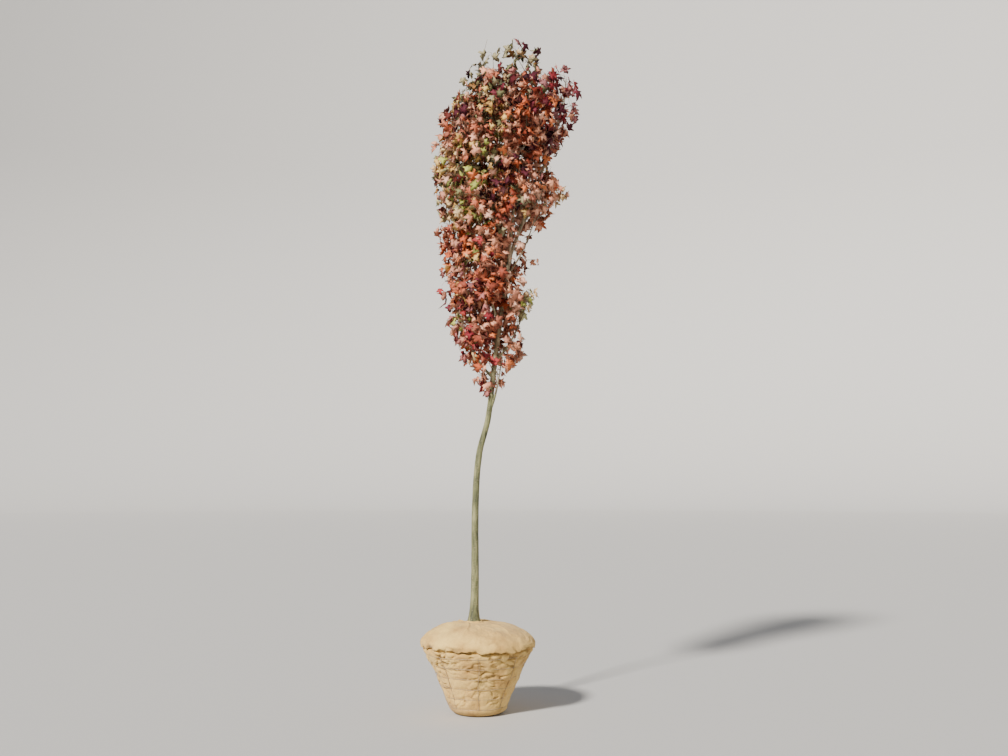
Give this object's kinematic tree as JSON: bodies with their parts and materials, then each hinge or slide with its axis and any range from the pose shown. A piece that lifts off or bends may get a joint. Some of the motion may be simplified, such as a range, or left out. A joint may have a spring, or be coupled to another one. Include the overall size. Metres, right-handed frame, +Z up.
{
  "type": "maple sapling with root ball",
  "caption": "Slender young maple in autumn leaf, leaning trunk with a second leader, standing on a burlapped, wire-basketed root ball.",
  "frame": {"origin": "centre of the flat underside of the root ball, where it stands", "axes": "+Z up along the tree, the front of the picture faces -Y, and the trunk leans to +X"},
  "size_m": [1.0899, 0.8854, 4.5495],
  "materials": {
    "burlap": "coarse plain-woven jute, matt, wrinkled and a little soiled",
    "basket_wire": "plain drawn steel wire, dulled by soil",
    "bark": "smooth young bark, pale grey-green, with lenticels and twig scars",
    "leaves_rust": "dry autumn leaf, rust brown, matt",
    "leaves_orange": "autumn leaf, orange brown, satin",
    "leaves_crimson": "autumn leaf, dark crimson, satin",
    "leaves_gold": "autumn leaf, dull gold, satin",
    "leaves_salmon": "autumn leaf, pale salmon underside, matt",
    "leaves_green": "turning leaf, yellow green, satin"
  },
  "bodies": {
    "root": {"root_ball": "burlap", "wire_basket": "basket_wire", "trunk": "bark", "second_leader": "bark", "bough_01": "bark", "bough_02": "bark", "bough_03": "bark", "bough_04": "bark", "bough_05": "bark", "bough_06": "bark", "bough_07": "bark", "bough_08": "bark", "bough_09": "bark", "bough_10": "bark", "bough_11": "bark", "bough_12": "bark", "bough_13": "bark", "bough_14": "bark", "bough_15": "bark", "bough_16": "bark", "foliage_second_leader": "leaves_rust", "foliage_01": "leaves_orange", "foliage_02": "leaves_crimson", "foliage_03": "leaves_gold", "foliage_04": "leaves_salmon", "foliage_05": "leaves_green", "foliage_06": "leaves_rust", "foliage_07": "leaves_orange", "foliage_08": "leaves_crimson", "foliage_09": "leaves_gold", "foliage_10": "leaves_salmon", "foliage_11": "leaves_green", "foliage_12": "leaves_rust", "foliage_13": "leaves_orange", "foliage_14": "leaves_crimson", "foliage_15": "leaves_gold", "foliage_16": "leaves_salmon", "foliage_top": "leaves_green"}
  },
  "joints": []
}
